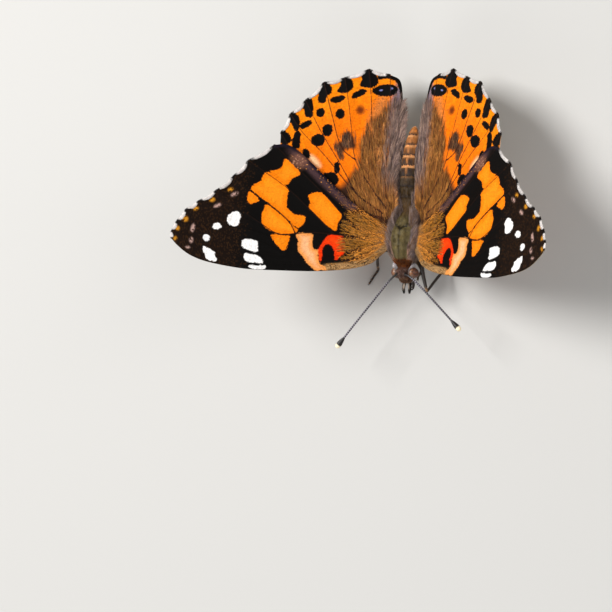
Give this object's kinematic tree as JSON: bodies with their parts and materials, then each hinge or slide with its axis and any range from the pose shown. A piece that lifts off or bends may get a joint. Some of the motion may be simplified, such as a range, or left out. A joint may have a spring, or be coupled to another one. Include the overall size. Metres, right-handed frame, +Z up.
{
  "type": "painted lady butterfly",
  "caption": "Life-size painted lady butterfly with its wings spread, standing on its legs, as a still display model.",
  "frame": {"origin": "centre of the bounding box, on the floor that the feet stand on", "axes": "+X to the animal's left, across the wingspan; +Y to its tail; +Z up"},
  "size_m": [0.0602, 0.0412, 0.0229],
  "materials": {
    "forewing_scales": "matte overlapping scales",
    "hindwing_scales": "matte overlapping scales",
    "thorax_hair": "short dense hair",
    "head_hair": "short dense hair",
    "abdomen_scales": "flat scales and fine hair",
    "eye": "glossy faceted surface",
    "palp_hair": "bristly scales",
    "antenna": "matte, pale rings",
    "leg_scales": "matte scales"
  },
  "bodies": {
    "root": {"head": "head_hair", "eye_left": "eye", "eye_right": "eye", "palp_left": "palp_hair", "palp_right": "palp_hair", "proboscis": "leg_scales", "antenna_left": "antenna", "antenna_right": "antenna", "thorax": "thorax_hair", "abdomen": "abdomen_scales", "forewing_left": "forewing_scales", "forewing_right": "forewing_scales", "hindwing_left": "hindwing_scales", "hindwing_right": "hindwing_scales", "foreleg_left": "leg_scales", "foreleg_right": "leg_scales", "midleg_left": "leg_scales", "midleg_right": "leg_scales", "hindleg_left": "leg_scales", "hindleg_right": "leg_scales"}
  },
  "joints": []
}
